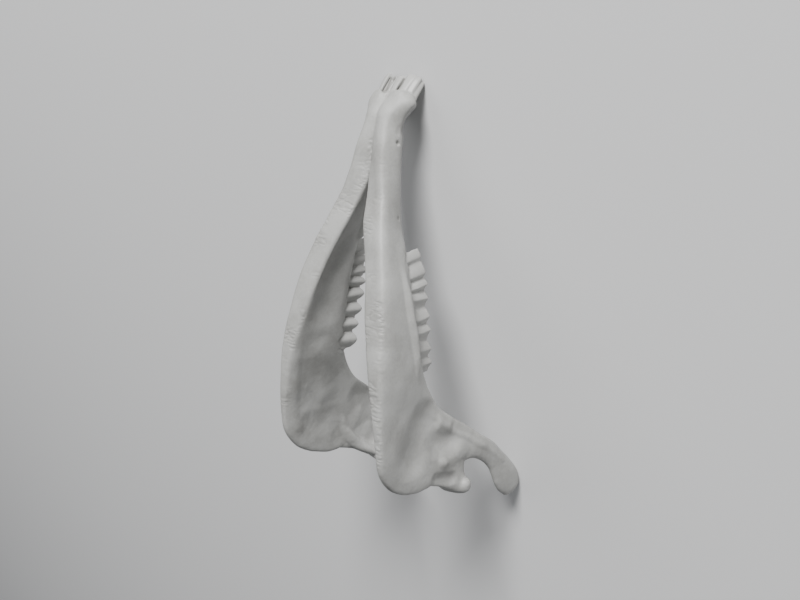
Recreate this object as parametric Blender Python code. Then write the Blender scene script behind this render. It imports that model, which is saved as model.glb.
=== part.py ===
"""Lower jaw of a goat, life size, as two bones with their teeth, turned over and resting on the table.

The jaw is described in its own frame, in millimetres: X runs out from the midline, Y towards
the incisors from the hindmost point of the jaw angle, and Z from the lower border towards the teeth.
One half is described and the other is its mirror image, apart from small differences between the
teeth. At the end the jaw is turned over, so that it rests on the tips of both coronoid processes
and on its corner incisors, with its lower border up.
"""

import math
import random
from collections import namedtuple

import bmesh
import bpy
from mathutils import Matrix, Vector

MM = 0.001

# Driving dimensions of the jaw, in millimetres.
MIDLINE_GAP = 0.3
CONDYLE_OUT = 28.0
CONDYLE_REAR = -3.3
CONDYLE_HEIGHT = 61.6
CONDYLE_WIDTH = 18.0
CONDYLE_SLANT = 1.6
CROWN_TOP = 40.9
SOCKET_DEPTH = 7.0

# Where the turned-over jaw touches the table: (Y, Z) on a coronoid tip and on a corner incisor.
CORONOID_REST = (-9.6, 103.6)
INCISOR_REST = (178.4, 38.8)

# How finely the forms are faceted.
BODY_STEPS = 3
RING_SHARES = (0.0, 0.008, 0.03, 0.08, 0.17, 0.32, 0.5, 0.68, 0.83, 0.92, 0.97, 0.992, 1.0)
HIGH_CRISP = 3.0
CONDYLE_SIDES = 16
CREST_SIDES = 14
INCISOR_SIDES = 12

TOOTH_SEED = 7

BONE_COLOUR = (0.36, 0.36, 0.345, 1.0)
BONE_ROUGHNESS = 0.5

# A rung crosses the bone from its lower or rear edge to its upper or front edge. The widths are
# measured across the rung near its low end, at its middle and near its high end. The bow moves
# the middle outwards. The lift raises the inner corner of the low end over the outer one. The
# last two numbers say how crisp the outer and the inner low corners are: 2 is round, 8 is sharp.
RUNG_FIELDS = "low_y low_z low_x high_y high_z high_x low_w mid_w high_w bow lift outer inner"
Rung = namedtuple("Rung", RUNG_FIELDS, defaults=(0.0, 0.0, 2.5, 2.5))

BODY_RUNGS = (
    Rung(173.4, 29.0, 1.4, 170.4, 37.8, 7.3, 9.6, 13.0, 15.0, 0.0, 0.0, 2.6, 2.6),
    Rung(169.0, 26.6, 1.1, 166.6, 37.2, 7.8, 9.6, 15.2, 17.0, 0.0, 0.0, 2.6, 2.6),
    Rung(161.0, 22.8, 0.9, 160.4, 33.4, 6.8, 10.6, 11.4, 10.4, 0.0, 0.0, 2.8, 2.8),
    Rung(150.0, 20.0, 2.7, 150.0, 31.6, 7.2, 11.4, 11.4, 8.0, 0.0, 0.0, 3.0, 3.0),
    Rung(141.0, 18.6, 4.2, 141.0, 31.2, 8.0, 12.4, 11.2, 7.2, 0.0, 0.3, 3.2, 4.0),
    Rung(130.0, 16.5, 7.6, 130.0, 30.6, 8.9, 13.6, 10.2, 5.8, 0.0, 1.0, 3.4, 5.0),
    Rung(118.0, 12.2, 11.6, 118.0, 29.8, 11.2, 15.0, 10.4, 6.2, 0.2, 1.8, 3.6, 6.0),
    Rung(107.0, 9.0, 15.7, 107.0, 29.2, 15.0, 15.6, 11.2, 8.6, 0.4, 2.8, 3.8, 6.0),
    Rung(94.0, 6.0, 20.3, 94.0, 29.6, 18.6, 15.2, 12.0, 10.0, 0.6, 3.2, 4.0, 6.0),
    Rung(80.0, 4.0, 24.3, 80.0, 30.8, 21.6, 13.8, 12.0, 10.8, 0.8, 2.4, 4.0, 6.0),
    Rung(66.0, 2.8, 27.4, 66.0, 32.0, 24.0, 12.2, 11.6, 10.8, 0.8, 2.0, 4.0, 6.0),
    Rung(53.0, 2.5, 29.8, 54.6, 34.6, 25.8, 10.0, 10.4, 9.6, 0.6, 1.4, 4.0, 6.0),
    Rung(38.5, 3.3, 31.3, 44.4, 39.8, 27.4, 8.0, 7.0, 6.8, 0.2, 1.0, 4.0, 5.0),
    Rung(26.0, 4.8, 32.2, 37.0, 46.2, 28.0, 6.8, 4.8, 5.2, 0.0, 0.6, 4.0, 4.0),
    Rung(15.6, 7.3, 32.2, 31.0, 55.4, 28.6, 6.0, 4.2, 4.8, -0.2, 0.2, 4.0, 4.0),
    Rung(7.4, 13.6, 31.8, 26.4, 63.2, 29.6, 5.4, 3.8, 4.6, -0.3, 0.0, 4.0, 4.0),
    Rung(2.6, 22.0, 31.4, 22.4, 69.6, 30.8, 5.0, 3.8, 4.6, -0.2, 0.0, 4.0, 4.0),
    Rung(0.8, 31.0, 31.0, 19.2, 74.2, 31.4, 4.8, 3.8, 4.2, 0.0, 0.0, 4.0, 4.0),
    Rung(1.4, 39.0, 30.8, 17.2, 76.4, 31.8, 4.2, 3.0, 3.6, 0.0, 0.0, 4.0, 4.0),
)

# Rungs of the coronoid process run from the edge that faces the notch to the front edge.
CORONOID_RUNGS = (
    Rung(7.0, 54.0, 31.0, 25.6, 60.0, 29.4, 2.4, 2.4, 2.6),
    Rung(8.6, 61.4, 31.2, 22.6, 67.6, 30.6, 3.8, 4.0, 4.0),
    Rung(8.9, 68.9, 31.7, 19.3, 74.0, 31.7, 4.2, 5.0, 4.6),
    Rung(5.8, 75.3, 32.4, 15.3, 80.8, 32.4, 4.0, 5.0, 4.4),
    Rung(1.4, 80.0, 33.0, 9.9, 87.2, 33.0, 3.8, 5.0, 4.4),
    Rung(-3.3, 82.6, 33.5, 3.8, 94.2, 33.5, 3.8, 5.2, 4.4),
    Rung(-8.0, 85.0, 33.9, -3.4, 100.8, 33.9, 3.8, 5.4, 4.4),
    Rung(-12.2, 88.6, 34.0, -9.8, 103.2, 34.0, 3.6, 5.2, 4.2),
    Rung(-14.4, 92.0, 33.9, -13.4, 100.4, 33.9, 2.8, 4.0, 3.2),
)

# Rungs of the condyle's neck run from its rear edge to the edge that faces the notch.
NECK_RUNGS = (
    Rung(2.8, 33.0, 31.0, 16.6, 48.6, 31.0, 2.8, 2.4, 2.4),
    Rung(1.4, 41.0, 30.8, 14.4, 56.4, 31.2, 4.6, 4.0, 3.8),
    Rung(-1.2, 48.6, 30.2, 11.4, 62.4, 31.0, 6.2, 5.4, 4.8),
    Rung(-4.0, 54.0, 29.4, 6.4, 63.2, 30.2, 7.8, 8.4, 5.6),
    Rung(-6.2, 57.6, 28.4, 2.6, 64.2, 29.0, 10.6, 13.4, 9.0),
)

# The condyle lies across the jaw: (share of its half width, rise of its centre, Y radius, Z radius).
CONDYLE_SECTIONS = (
    (-1.00, -0.2, 1.0, 0.8),
    (-0.95, -0.1, 2.4, 1.9),
    (-0.82, 0.0, 3.7, 3.0),
    (-0.50, 0.2, 4.5, 3.6),
    (0.00, -0.3, 4.5, 3.5),
    (0.45, 0.1, 4.4, 3.8),
    (0.80, 0.3, 3.6, 3.1),
    (0.95, 0.2, 2.3, 1.9),
    (1.00, 0.2, 1.0, 0.8),
)

# The crest inside the ramus, from the inner end of the condyle down to the mandibular foramen:
# (Y, Z, X, radius across the jaw, radius along the ramus).
INNER_CREST = (
    (-3.6, 60.0, 25.6, 5.4, 2.6),
    (-0.8, 54.2, 27.6, 4.2, 3.0),
    (4.0, 47.6, 29.2, 3.0, 2.8),
    (10.4, 41.8, 30.4, 2.2, 2.4),
    (18.0, 37.4, 31.2, 1.2, 1.8),
)

# A lobe of a cheek tooth: on the cheek side the Y of its front, of its ridge and of its rear, the
# same on the tongue side, its width across the row, how far it stands below CROWN_TOP, and how far
# it leans forwards, as a share of its height above CROWN_MIDDLE.
Lobe = namedtuple("Lobe", "name front ridge rear inner_front tip inner_rear width below lean")

LOBES = (
    Lobe("third_premolar", 107.6, 103.6, 101.3, 105.0, 103.2, 101.2, 4.8, 2.6, 0.15),
    Lobe("fourth_premolar", 101.7, 96.2, 94.1, 100.2, 97.6, 95.0, 6.4, 0.9, 0.15),
    Lobe("first_molar_front", 94.5, 91.6, 88.4, 94.9, 92.4, 90.0, 7.4, 0.5, 0.16),
    Lobe("first_molar_rear", 89.6, 86.4, 81.6, 89.9, 87.4, 84.5, 7.6, 0.8, 0.0),
    Lobe("second_molar_front", 82.0, 77.8, 73.6, 84.4, 81.2, 77.3, 8.2, 0.8, 0.12),
    Lobe("second_molar_rear", 75.4, 72.4, 67.4, 77.2, 73.6, 69.6, 8.2, 0.5, 0.05),
    Lobe("third_molar_front", 68.0, 64.4, 59.2, 69.5, 66.4, 62.5, 8.0, 0.6, 0.0),
    Lobe("third_molar_middle", 60.8, 58.3, 54.4, 62.5, 58.6, 54.0, 7.8, 0.0, 0.0),
    Lobe("third_molar_rear", 55.6, 54.4, 52.6, 55.2, 54.2, 53.2, 4.0, 4.0, 0.0),
)
CROWN_HEIGHT = 12.0
# The crowns tilt inwards by this share of their height above CROWN_MIDDLE.
CROWN_TILT = 0.2
CROWN_MIDDLE = 34.0
TONGUE_DROP = 2.4
LOBE_OVERLAP = 0.35
# The edge of a lobe in steps: (from its front to its ridge or on to its rear, share of half
# its width, drop of its edge), on the cheek side from front to rear and on the tongue side back.
CHEEK_EDGE = (
    (-1.0, 0.44, 1.1),
    (-0.5, 0.80, 0.6),
    (0.0, 1.00, 0.0),
    (0.5, 0.58, 0.5),
    (1.0, 0.42, 1.0),
)
TONGUE_EDGE = (
    (1.0, -0.24, 5.0),
    (0.90, -0.46, 2.6),
    (0.64, -0.70, 1.0),
    (0.30, -0.93, 0.25),
    (0.0, -1.02, 0.0),
    (-0.30, -0.93, 0.25),
    (-0.64, -0.70, 1.0),
    (-0.90, -0.46, 2.6),
    (-1.0, -0.24, 5.0),
)

# The middle of the tooth row: (Y, X).
TOOTH_ROW = (
    (50.0, 25.1), (61.0, 24.2), (72.0, 22.6), (82.0, 20.6), (90.0, 19.3), (98.0, 18.3), (107.0, 16.1),
    (115.0, 14.0),
)

# An incisor: the places of its neck and of the middle of its edge as (X, Y, Z), its width at the
# edge, and how far its outer face turns from the midline, in degrees.
Incisor = namedtuple("Incisor", "name neck edge width turn")

INCISORS = (
    Incisor("first_incisor", (2.3, 172.0, 30.2), (2.45, 180.0, 34.8), 4.6, 4),
    Incisor("second_incisor", (6.2, 171.8, 31.0), (7.1, 180.9, 35.7), 5.1, 16),
    Incisor("third_incisor", (8.4, 171.0, 32.4), (9.2, 180.2, 36.7), 4.8, 24),
    Incisor("corner_incisor", (9.8, 169.8, 33.8), (10.4, 178.3, 38.0), 3.4, 50),
)
INCISOR_NECK_WIDTH = 0.74
INCISOR_THICKNESS = 3.4
INCISOR_EDGE_THICKNESS = 1.5
INCISOR_ROOT = 4.0


def clear_scene():
    for obj in list(bpy.data.objects):
        bpy.data.objects.remove(obj)


def smooth_rows(rows, steps):
    """Rows on a Catmull-Rom curve through the given rows, with the given steps between two."""
    ends = [rows[0], *rows, rows[-1]]
    found = []
    for a, b, c, d in zip(ends, ends[1:], ends[2:], ends[3:]):
        for step in range(steps):
            t = step / steps
            found.append([
                0.5 * (2 * q + (r - p) * t + (2 * p - 5 * q + 4 * r - s) * t**2
                       + (3 * q - p - 3 * r + s) * t**3)
                for p, q, r, s in zip(a, b, c, d)
            ])
    found.append(list(rows[-1]))
    return found


def between(points, at):
    """The value at a place, on straight lines through (place, value) points in rising order."""
    for (a, low), (b, high) in zip(points, points[1:]):
        if at <= b:
            return low + (high - low) * (at - a) / (b - a)
    return points[-1][1]


def signed_power(value, power):
    return math.copysign(abs(value) ** power, value)


def rung_width(rung, share, crisp):
    """The width across a rung at a share of its height, rounded off towards both ends."""
    width = (
        rung.low_w * (1 - share) * (1 - 2 * share)
        + rung.mid_w * 4 * share * (1 - share)
        + rung.high_w * share * (2 * share - 1)
    )
    power = crisp if share < 0.5 else HIGH_CRISP
    return width * (1 - abs(2 * share - 1) ** power) ** (1 / power)


def rung_ring(row):
    """The closed outline of the bone across one rung."""
    rung = Rung(*row)
    low = Vector((rung.low_x, rung.low_y, rung.low_z))
    high = Vector((rung.high_x, rung.high_y, rung.high_z))
    along = (high - low).normalized()
    out = Vector((1, 0, 0))
    out = (out - along * out.dot(along)).normalized()
    places = [(share, 1, rung.outer) for share in RING_SHARES]
    places += [(share, -1, rung.inner) for share in reversed(RING_SHARES[1:-1])]
    ring = []
    for share, side, crisp in places:
        across = side * rung_width(rung, share, crisp) / 2
        bow = rung.bow * 4 * share * (1 - share)
        lift = rung.lift * (1 - share) ** 3 * (0.5 - across / rung.low_w)
        ring.append(low.lerp(high, share) + out * (across + bow) + along * lift)
    return ring


def domed(rings, depth):
    """The rings with each end closed by a low dome of smaller rings."""
    start = end_dome(rings[0], rings[1], depth)
    finish = end_dome(rings[-1], rings[-2], depth)
    return [*reversed(start), *rings, *finish]


def end_dome(ring, neighbour, depth):
    centre = sum(ring, Vector()) / len(ring)
    outwards = (centre - sum(neighbour, Vector()) / len(neighbour)).normalized()
    rings = []
    for turn in (35, 65):
        size, push = math.cos(math.radians(turn)), math.sin(math.radians(turn))
        rings.append([centre + (p - centre) * size + outwards * depth * push for p in ring])
    return rings


def skin(name, rings):
    """A closed mesh object through rings with the same number of points, in millimetres."""
    mesh = bmesh.new()
    loops = [[mesh.verts.new(p * MM) for p in ring] for ring in rings]
    for a, b in zip(loops, loops[1:]):
        for k in range(len(a)):
            after = (k + 1) % len(a)
            mesh.faces.new((a[k], a[after], b[after], b[k]))
    mesh.faces.new(loops[0])
    mesh.faces.new(loops[-1])
    bmesh.ops.recalc_face_normals(mesh, faces=mesh.faces)
    bmesh.ops.triangulate(mesh, faces=[f for f in mesh.faces if len(f.verts) > 4])
    data = bpy.data.meshes.new(name)
    mesh.to_mesh(data)
    mesh.free()
    obj = bpy.data.objects.new(name, data)
    bpy.context.scene.collection.objects.link(obj)
    return obj


def ribbon(name, rungs, steps, dome):
    rings = [rung_ring(row) for row in smooth_rows(rungs, steps)]
    return skin(name, domed(rings, dome))


def condyle():
    """The articular head, a spindle that lies across the jaw."""
    rings = []
    for share, rise, y_radius, z_radius in CONDYLE_SECTIONS:
        out = CONDYLE_OUT + share * CONDYLE_WIDTH / 2
        front = CONDYLE_REAR + share * CONDYLE_SLANT
        centre = Vector((out, front, CONDYLE_HEIGHT + rise))
        rings.append([
            centre + Vector((0, y_radius * math.cos(a), z_radius * math.sin(a)))
            for a in (math.tau * k / CONDYLE_SIDES for k in range(CONDYLE_SIDES))
        ])
    return skin("condyle", rings)


def inner_crest():
    """The rounded crest that widens the ramus inwards below the condyle."""
    rows = smooth_rows(INNER_CREST, 2)
    rings = []
    for k, (y, z, x, across, along) in enumerate(rows):
        before, after = rows[max(k - 1, 0)], rows[min(k + 1, len(rows) - 1)]
        side = Vector((0, before[1] - after[1], after[0] - before[0])).normalized()
        rings.append([
            Vector((x + across * math.cos(a), y, z)) + side * (along * math.sin(a))
            for a in (math.tau * n / CREST_SIDES for n in range(CREST_SIDES))
        ])
    return skin("inner_crest", rings)


def edge_place(front, ridge, rear, step):
    """The Y at a step of a lobe's edge: -1 is its front, 0 its ridge or tip, and 1 its rear."""
    if step < 0:
        return ridge - (front + LOBE_OVERLAP - ridge) * step
    return ridge + (rear - LOBE_OVERLAP - ridge) * step


def lobe_outline(row):
    """The edge of a lobe as (Y, distance across the row, drop below its top)."""
    outline = []
    for step, across, drop in CHEEK_EDGE:
        y = edge_place(row.front, row.ridge, row.rear, step)
        outline.append((y, across * row.width / 2, drop))
    for step, across, drop in TONGUE_EDGE:
        y = edge_place(row.inner_front, row.tip, row.inner_rear, step)
        outline.append((y, across * row.width / 2, drop + TONGUE_DROP))
    return outline


def lobe(row, draw):
    """One lobe of a cheek tooth: a pleat on the cheek side and a cone on the tongue side."""
    outline = lobe_outline(row)
    middle = sum(y for y, _, _ in outline) / len(outline)
    top = CROWN_TOP - row.below + draw.uniform(-0.2, 0.2)
    # Each level is (height, how far it follows the drop of the edge, size).
    levels = (
        (top - CROWN_HEIGHT - SOCKET_DEPTH, 0.0, 0.50),
        (top - CROWN_HEIGHT, 0.0, 0.74),
        (top - CROWN_HEIGHT * 0.7, 0.0, 0.96),
        (top, 1.0, 0.95),
        (top - 0.7, 0.8, 0.68),
        (top - 2.0, 0.3, 0.30),
    )
    rings = []
    for height, follow, size in levels:
        ring = []
        for y, across, drop in outline:
            y = middle + (y - middle) * size
            z = height - follow * drop
            x = between(TOOTH_ROW, y) + across * size - CROWN_TILT * (z - CROWN_MIDDLE)
            ring.append(Vector((x, y + row.lean * (z - CROWN_MIDDLE), z)))
        rings.append(ring)
    return skin(row.name, rings)


def incisor(row):
    """A chisel-shaped front tooth, from its root in the bone to its edge."""
    neck, edge = Vector(row.neck), Vector(row.edge)
    along = (edge - neck).normalized()
    turn = math.radians(row.turn)
    face = Vector((math.sin(turn), 0.0, -math.cos(turn)))
    face = (face - along * face.dot(along)).normalized()
    across = along.cross(face)
    crown = (edge - neck).length
    # (distance from the neck as a share of the crown, width share, thickness)
    levels = (
        (-INCISOR_ROOT / crown, 0.50, INCISOR_THICKNESS * 0.7),
        (0.0, INCISOR_NECK_WIDTH, INCISOR_THICKNESS),
        (0.35, 0.86, INCISOR_THICKNESS * 0.96),
        (0.75, 0.99, INCISOR_THICKNESS * 0.72),
        (0.94, 0.97, INCISOR_EDGE_THICKNESS),
        (1.00, 0.76, INCISOR_EDGE_THICKNESS * 0.6),
    )
    rings = []
    for share, width, thickness in levels:
        centre = neck + along * crown * share
        rings.append([
            centre
            + across * (signed_power(math.cos(a), 0.6) * width * row.width / 2)
            + face * (signed_power(math.sin(a), 0.6) * thickness / 2)
            for a in (math.tau * k / INCISOR_SIDES for k in range(INCISOR_SIDES))
        ])
    return skin(row.name, rings)


def fuse(bone, pieces):
    """Joins the pieces to the bone by one Boolean union, and removes them."""
    group = bpy.data.collections.new("pieces")
    bpy.context.scene.collection.children.link(group)
    for piece in pieces:
        bpy.context.scene.collection.objects.unlink(piece)
        group.objects.link(piece)
    union = bone.modifiers.new("union", "BOOLEAN")
    union.operation = "UNION"
    union.operand_type = "COLLECTION"
    union.collection = group
    union.solver = "EXACT"
    graph = bpy.context.evaluated_depsgraph_get()
    joined = bpy.data.meshes.new_from_object(bone.evaluated_get(graph))
    bone.modifiers.clear()
    bone.data = joined
    for piece in pieces:
        bpy.data.objects.remove(piece)
    bpy.data.collections.remove(group)


def cut(mesh, point, outwards):
    """Cuts away what lies beyond a plane, and closes the cut with a flat face."""
    made = bmesh.ops.bisect_plane(
        mesh,
        geom=[*mesh.verts, *mesh.edges, *mesh.faces],
        plane_co=point,
        plane_no=outwards,
        clear_outer=True,
        dist=1e-7,
    )
    edges = [g for g in made["geom_cut"] if isinstance(g, bmesh.types.BMEdge)]
    bmesh.ops.holes_fill(mesh, edges=edges, sides=0)


def keep_largest(mesh):
    """Leaves only the closed surface with the most faces."""
    left, shells = set(mesh.faces), []
    while left:
        front, shell = [left.pop()], set()
        while front:
            face = front.pop()
            shell.add(face)
            for edge in face.edges:
                for other in edge.link_faces:
                    if other in left:
                        left.remove(other)
                        front.append(other)
        shells.append(shell)
    shells.sort(key=len)
    loose = [face for shell in shells[:-1] for face in shell]
    bmesh.ops.delete(mesh, geom=loose, context="FACES")


def rest_plane():
    """A point of the table's plane and the direction through the table, in the jaw's frame."""
    rear, front = Vector((0, *CORONOID_REST)), Vector((0, *INCISOR_REST))
    return rear * MM, Vector((1, 0, 0)).cross(front - rear).normalized()


def bone_material():
    material = bpy.data.materials.new("bone")
    material.use_nodes = True
    shader = material.node_tree.nodes["Principled BSDF"]
    shader.inputs["Base Color"].default_value = BONE_COLOUR
    shader.inputs["Roughness"].default_value = BONE_ROUGHNESS
    shader.inputs["Metallic"].default_value = 0.0
    return material


def half_jaw(name, side, draw):
    """One bone of the jaw with its teeth; side is 1 on the animal's right and -1 on its left."""
    bone = ribbon(name, BODY_RUNGS, BODY_STEPS, 1.4)
    pieces = [
        ribbon("coronoid", CORONOID_RUNGS, 2, 1.6),
        ribbon("neck", NECK_RUNGS, 2, 1.0),
        condyle(),
        inner_crest(),
        *[lobe(row, draw) for row in LOBES],
        *[incisor(row) for row in INCISORS],
    ]
    fuse(bone, pieces)
    mesh = bmesh.new()
    mesh.from_mesh(bone.data)
    cut(mesh, Vector((MIDLINE_GAP / 2 * MM, 0, 0)), Vector((-1, 0, 0)))
    cut(mesh, *rest_plane())
    keep_largest(mesh)
    if side < 0:
        bmesh.ops.scale(mesh, vec=Vector((-1, 1, 1)), verts=mesh.verts)
        bmesh.ops.reverse_faces(mesh, faces=mesh.faces)
    bmesh.ops.triangulate(mesh, faces=mesh.faces)
    mesh.to_mesh(bone.data)
    mesh.free()
    bone.data.materials.append(bone_material())
    bone.data.shade_smooth()
    bone.data.set_sharp_from_angle(angle=math.radians(40))
    return bone


def turn_over(bones):
    """Turns the jaw over on the table and centres it on the origin."""
    point, down = rest_plane()
    turned = down.rotation_difference(Vector((0, 0, -1))).to_matrix().to_4x4()
    corners = [turned @ v.co for bone in bones for v in bone.data.vertices]
    middle = [
        (min(c[axis] for c in corners) + max(c[axis] for c in corners)) / 2 for axis in (0, 1)
    ]
    level = (turned @ point).z
    rest = bpy.data.objects.new("jaw_at_rest", None)
    bpy.context.scene.collection.objects.link(rest)
    rest.matrix_world = Matrix.Translation((-middle[0], -middle[1], -level)) @ turned
    for bone in bones:
        bone.parent = rest


def main():
    clear_scene()
    draw = random.Random(TOOTH_SEED)
    bones = [half_jaw("mandible_right", 1, draw), half_jaw("mandible_left", -1, draw)]
    turn_over(bones)


main()
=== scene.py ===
"""The goat's lower jaw as it looks: one fine bone skin with its teeth for each half of the jaw.

Each half is described in the jaw's own frame, in millimetres, as the solids are: X runs out from
the midline, Y towards the incisors from the hindmost point of the jaw angle, and Z from the lower
border towards the teeth. Lofts are fused by a fine voxel remesh, then worked over with ridges,
hollows, holes and scars, and turned over on to the table.
"""

import math
from collections import namedtuple

import bmesh
import bpy
import numpy as np
from mathutils import Matrix, Vector
from mathutils.bvhtree import BVHTree


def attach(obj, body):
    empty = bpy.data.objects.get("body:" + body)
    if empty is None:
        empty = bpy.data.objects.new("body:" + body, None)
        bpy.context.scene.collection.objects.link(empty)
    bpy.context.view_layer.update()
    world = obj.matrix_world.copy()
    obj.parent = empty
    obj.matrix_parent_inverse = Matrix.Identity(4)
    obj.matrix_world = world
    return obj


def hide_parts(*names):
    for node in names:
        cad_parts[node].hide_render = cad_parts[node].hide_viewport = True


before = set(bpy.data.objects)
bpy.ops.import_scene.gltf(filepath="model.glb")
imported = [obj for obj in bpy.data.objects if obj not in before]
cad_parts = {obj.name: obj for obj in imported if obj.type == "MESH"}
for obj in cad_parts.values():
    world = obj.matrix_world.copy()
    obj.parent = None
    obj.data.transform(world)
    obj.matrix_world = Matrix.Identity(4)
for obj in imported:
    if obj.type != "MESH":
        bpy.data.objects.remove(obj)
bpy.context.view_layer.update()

MM = 0.001
VOXEL = 0.32

MIDLINE_TOUCH = 0.01
CONDYLE_OUT = 28.0
CONDYLE_REAR = -3.3
CONDYLE_HEIGHT = 61.6
CONDYLE_WIDTH = 18.0
CONDYLE_SLANT = 1.6
CROWN_TOP = 40.9
SOCKET_DEPTH = 7.0

# Where the turned-over jaw touches the table, and where its own origin then lies.
CORONOID_REST = (-9.6, 103.6)
INCISOR_REST = (178.4, 38.8)
REST_ORIGIN = (0.0, 56.95521, 94.81674)

RING_POINTS = 26
HIGH_CRISP = 3.0
RUNG_STEPS = 8
CONDYLE_POINTS = 40
CREST_POINTS = 28
INCISOR_POINTS = 36
INCISOR_SQUARENESS = 0.6
BODY_DOME = 1.4
CORONOID_DOME = 1.6
NECK_DOME = 1.0

# The rings of the other half's front end that are fused in before the cut at the midline.
FRONT_RINGS = 25

RUNG_FIELDS = "low_y low_z low_x high_y high_z high_x low_w mid_w high_w bow lift outer inner"
Rung = namedtuple("Rung", RUNG_FIELDS, defaults=(0.0, 0.0, 2.5, 2.5))

BODY_RUNGS = (
    Rung(173.4, 29.0, 1.4, 170.4, 37.8, 7.3, 9.6, 13.0, 15.0, 0.0, 0.0, 2.6, 2.6),
    Rung(169.0, 26.6, 1.1, 166.6, 37.2, 7.8, 9.6, 15.2, 17.0, 0.0, 0.0, 2.6, 2.6),
    Rung(161.0, 22.8, 0.9, 160.4, 33.4, 6.8, 10.6, 11.4, 10.4, 0.0, 0.0, 2.8, 2.8),
    Rung(150.0, 20.0, 2.7, 150.0, 31.6, 7.2, 11.4, 11.4, 8.0, 0.0, 0.0, 3.0, 3.0),
    Rung(141.0, 18.6, 4.2, 141.0, 31.2, 8.0, 12.4, 11.2, 7.2, 0.0, 0.3, 3.2, 4.0),
    Rung(130.0, 16.5, 7.6, 130.0, 30.6, 8.9, 13.6, 10.2, 5.8, 0.0, 1.0, 3.4, 5.0),
    Rung(118.0, 12.2, 11.6, 118.0, 29.8, 11.2, 15.0, 10.4, 6.2, 0.2, 1.8, 3.6, 6.0),
    Rung(107.0, 9.0, 15.7, 107.0, 29.2, 15.0, 15.6, 11.2, 8.6, 0.4, 2.8, 3.8, 6.0),
    Rung(94.0, 6.0, 20.3, 94.0, 29.6, 18.6, 15.2, 12.0, 10.0, 0.6, 3.2, 4.0, 6.0),
    Rung(80.0, 4.0, 24.3, 80.0, 30.8, 21.6, 13.8, 12.0, 10.8, 0.8, 2.4, 4.0, 6.0),
    Rung(66.0, 2.8, 27.4, 66.0, 32.0, 24.0, 12.2, 11.6, 10.8, 0.8, 2.0, 4.0, 6.0),
    Rung(53.0, 2.5, 29.8, 54.6, 34.6, 25.8, 10.0, 10.4, 9.6, 0.6, 1.4, 4.0, 6.0),
    Rung(38.5, 3.3, 31.3, 44.4, 39.8, 27.4, 8.0, 7.0, 6.8, 0.2, 1.0, 4.0, 5.0),
    Rung(26.0, 4.8, 32.2, 37.0, 46.2, 28.0, 6.8, 4.8, 5.2, 0.0, 0.6, 4.0, 4.0),
    Rung(15.6, 7.3, 32.2, 31.0, 55.4, 28.6, 6.0, 4.2, 4.8, -0.2, 0.2, 4.0, 4.0),
    Rung(7.4, 13.6, 31.8, 26.4, 63.2, 29.6, 5.4, 3.8, 4.6, -0.3, 0.0, 4.0, 4.0),
    Rung(2.6, 22.0, 31.4, 22.4, 69.6, 30.8, 5.0, 3.8, 4.6, -0.2, 0.0, 4.0, 4.0),
    Rung(0.8, 31.0, 31.0, 19.2, 74.2, 31.4, 4.8, 3.8, 4.2, 0.0, 0.0, 4.0, 4.0),
    Rung(1.4, 39.0, 30.8, 17.2, 76.4, 31.8, 4.2, 3.0, 3.6, 0.0, 0.0, 4.0, 4.0),
)

CORONOID_RUNGS = (
    Rung(7.0, 54.0, 31.0, 25.6, 60.0, 29.4, 2.4, 2.4, 2.6),
    Rung(8.6, 61.4, 31.2, 22.6, 67.6, 30.6, 3.8, 4.0, 4.0),
    Rung(8.9, 68.9, 31.7, 19.3, 74.0, 31.7, 4.2, 5.0, 4.6),
    Rung(5.8, 75.3, 32.4, 15.3, 80.8, 32.4, 4.0, 5.0, 4.4),
    Rung(1.4, 80.0, 33.0, 9.9, 87.2, 33.0, 3.8, 5.0, 4.4),
    Rung(-3.3, 82.6, 33.5, 3.8, 94.2, 33.5, 3.8, 5.2, 4.4),
    Rung(-8.0, 85.0, 33.9, -3.4, 100.8, 33.9, 3.8, 5.4, 4.4),
    Rung(-12.2, 88.6, 34.0, -9.8, 103.2, 34.0, 3.6, 5.2, 4.2),
    Rung(-14.4, 92.0, 33.9, -13.4, 100.4, 33.9, 2.8, 4.0, 3.2),
)

NECK_RUNGS = (
    Rung(2.8, 33.0, 31.0, 16.6, 48.6, 31.0, 2.8, 2.4, 2.4),
    Rung(1.4, 41.0, 30.8, 14.4, 56.4, 31.2, 4.6, 4.0, 3.8),
    Rung(-1.2, 48.6, 30.2, 11.4, 62.4, 31.0, 6.2, 5.4, 4.8),
    Rung(-4.0, 54.0, 29.4, 6.4, 63.2, 30.2, 7.8, 8.4, 5.6),
    Rung(-6.2, 57.6, 28.4, 2.6, 64.2, 29.0, 10.6, 13.4, 9.0),
)

CONDYLE_SECTIONS = (
    (-1.00, -0.2, 1.0, 0.8),
    (-0.95, -0.1, 2.4, 1.9),
    (-0.82, 0.0, 3.7, 3.0),
    (-0.50, 0.2, 4.5, 3.6),
    (0.00, -0.3, 4.5, 3.5),
    (0.45, 0.1, 4.4, 3.8),
    (0.80, 0.3, 3.6, 3.1),
    (0.95, 0.2, 2.3, 1.9),
    (1.00, 0.2, 1.0, 0.8),
)

INNER_CREST = (
    (-3.6, 60.0, 25.6, 5.4, 2.6),
    (-0.8, 54.2, 27.6, 4.2, 3.0),
    (4.0, 47.6, 29.2, 3.0, 2.8),
    (10.4, 41.8, 30.4, 2.2, 2.4),
    (18.0, 37.4, 31.2, 1.2, 1.8),
)

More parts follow.
